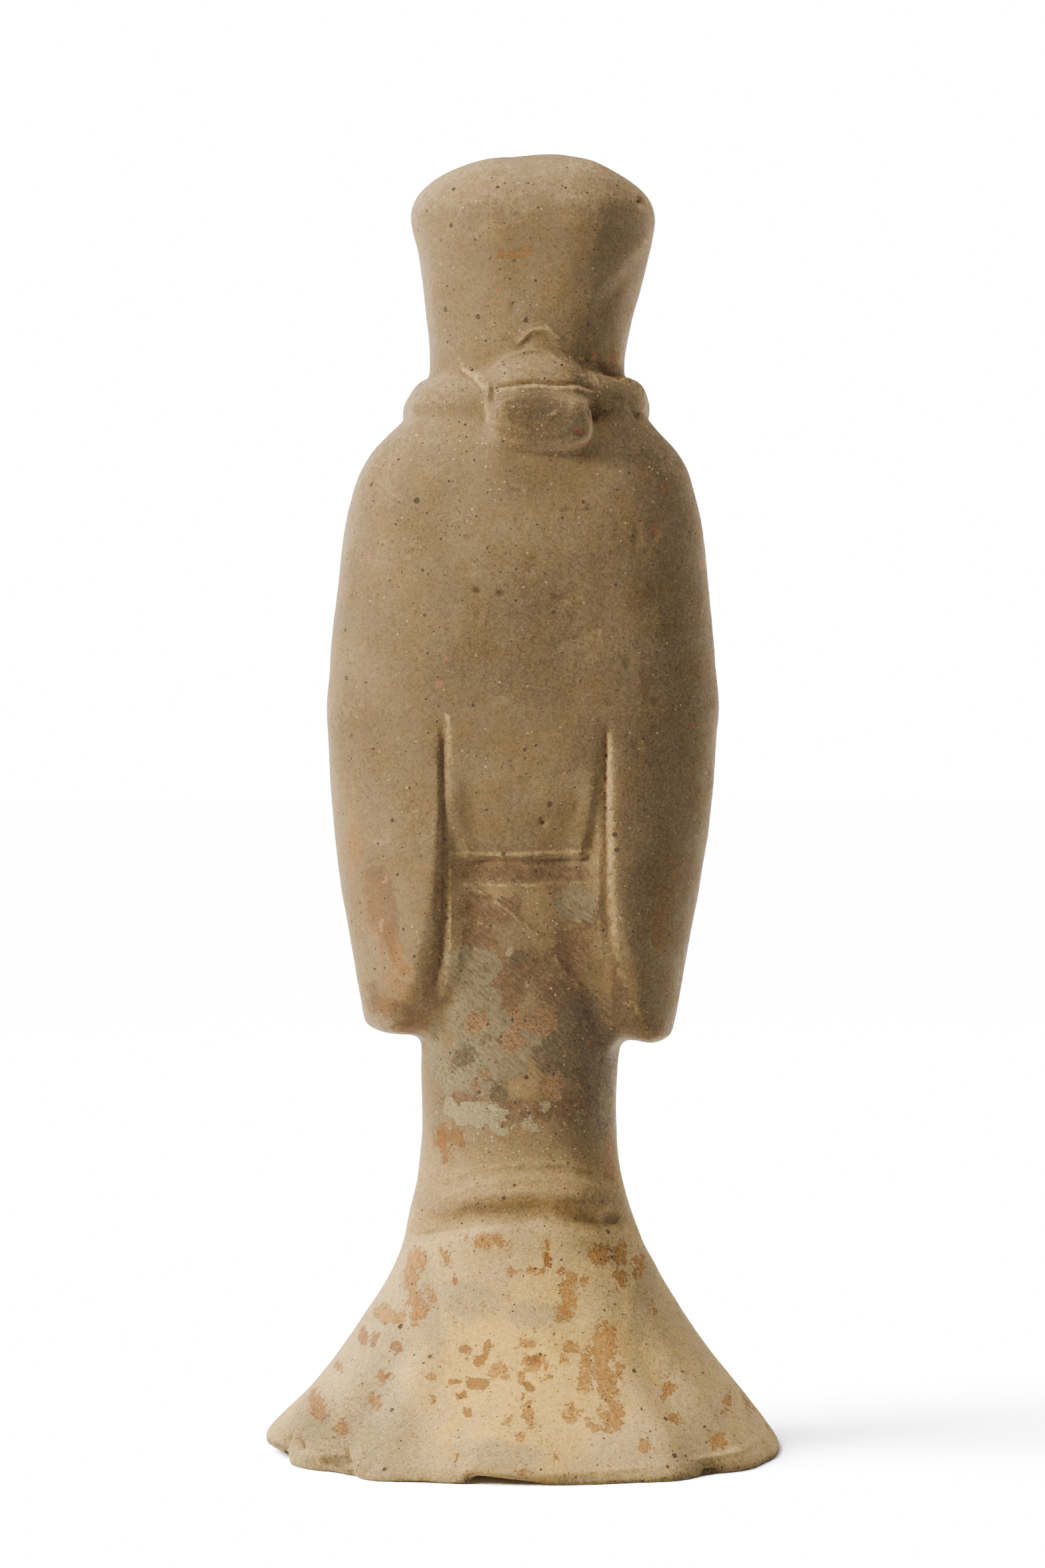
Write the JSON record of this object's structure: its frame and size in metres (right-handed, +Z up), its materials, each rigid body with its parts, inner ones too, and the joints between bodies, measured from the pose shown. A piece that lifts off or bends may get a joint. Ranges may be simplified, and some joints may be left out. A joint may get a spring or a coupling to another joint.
{
  "type": "painted pottery court lady figure",
  "caption": "Standing court lady in painted grey pottery: trumpet hem, jacket with long hanging sleeves, hair tied at the nape, hollow and open below.",
  "frame": {"origin": "on the ground, at the middle of the figure's outline seen from above", "axes": "+Z up; the figure faces -Y, its back is towards +Y and its left hand towards +X"},
  "size_m": [0.2142, 0.1854, 0.54],
  "materials": {
    "grey_pottery": "matt, porous, with worn paint and earth"
  },
  "bodies": {
    "root": {"court_lady": "grey_pottery"}
  },
  "joints": []
}
